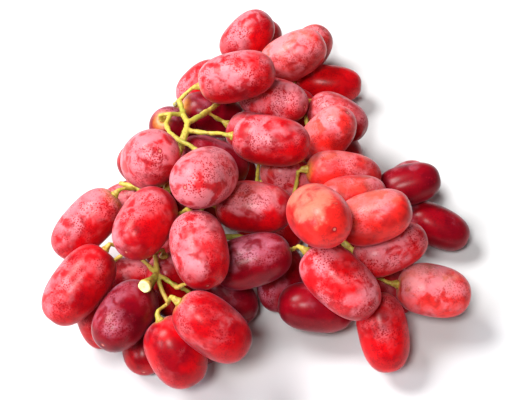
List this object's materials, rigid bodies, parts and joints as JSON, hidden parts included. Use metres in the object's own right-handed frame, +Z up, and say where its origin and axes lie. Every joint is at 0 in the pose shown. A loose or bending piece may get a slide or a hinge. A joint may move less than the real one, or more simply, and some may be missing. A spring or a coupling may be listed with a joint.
{
  "type": "bunch of grapes",
  "caption": "Bunch of long red table grapes lying on its side, with a branched green stalk, a pedicel to each berry and a short cut stem end.",
  "frame": {"origin": "middle of the bunch's footprint on the surface that it lies on", "axes": "+Z up from the surface; +Y along the bunch, from the low front that the picture looks onto towards the far end; +X to the right in the picture"},
  "size_m": [0.1694, 0.189, 0.0795],
  "materials": {
    "skin_ruby": "waxy skin with bloom",
    "skin_coral": "waxy skin with bloom",
    "skin_wine": "waxy skin with bloom",
    "stalk_green": "matt green stem"
  },
  "bodies": {
    "root": {"grape_01": "skin_ruby", "grape_02": "skin_ruby", "grape_03": "skin_coral", "grape_04": "skin_ruby", "grape_05": "skin_coral", "grape_06": "skin_ruby", "grape_07": "skin_ruby", "grape_08": "skin_ruby", "grape_09": "skin_ruby", "grape_10": "skin_coral", "grape_11": "skin_ruby", "grape_12": "skin_coral", "grape_13": "skin_coral", "grape_14": "skin_coral", "grape_15": "skin_coral", "grape_16": "skin_ruby", "grape_17": "skin_wine", "grape_18": "skin_wine", "grape_19": "skin_ruby", "grape_20": "skin_ruby", "grape_21": "skin_wine", "grape_22": "skin_wine", "grape_23": "skin_ruby", "grape_24": "skin_ruby", "grape_25": "skin_ruby", "grape_26": "skin_ruby", "grape_27": "skin_wine", "grape_28": "skin_ruby", "grape_29": "skin_ruby", "grape_30": "skin_ruby", "grape_31": "skin_wine", "grape_32": "skin_ruby", "grape_33": "skin_coral", "grape_34": "skin_ruby", "grape_35": "skin_wine", "grape_36": "skin_ruby", "grape_37": "skin_wine", "grape_38": "skin_wine", "grape_39": "skin_ruby", "grape_40": "skin_ruby", "grape_41": "skin_ruby", "grape_42": "skin_wine", "grape_43": "skin_ruby", "grape_44": "skin_wine", "grape_45": "skin_ruby", "grape_46": "skin_ruby", "grape_47": "skin_ruby", "grape_48": "skin_ruby", "grape_49": "skin_ruby", "grape_50": "skin_ruby", "grape_51": "skin_ruby", "grape_52": "skin_ruby", "grape_53": "skin_ruby", "grape_54": "skin_wine", "grape_55": "skin_ruby", "grape_56": "skin_ruby", "grape_57": "skin_ruby", "grape_58": "skin_ruby", "stalk": "stalk_green"}
  },
  "joints": []
}
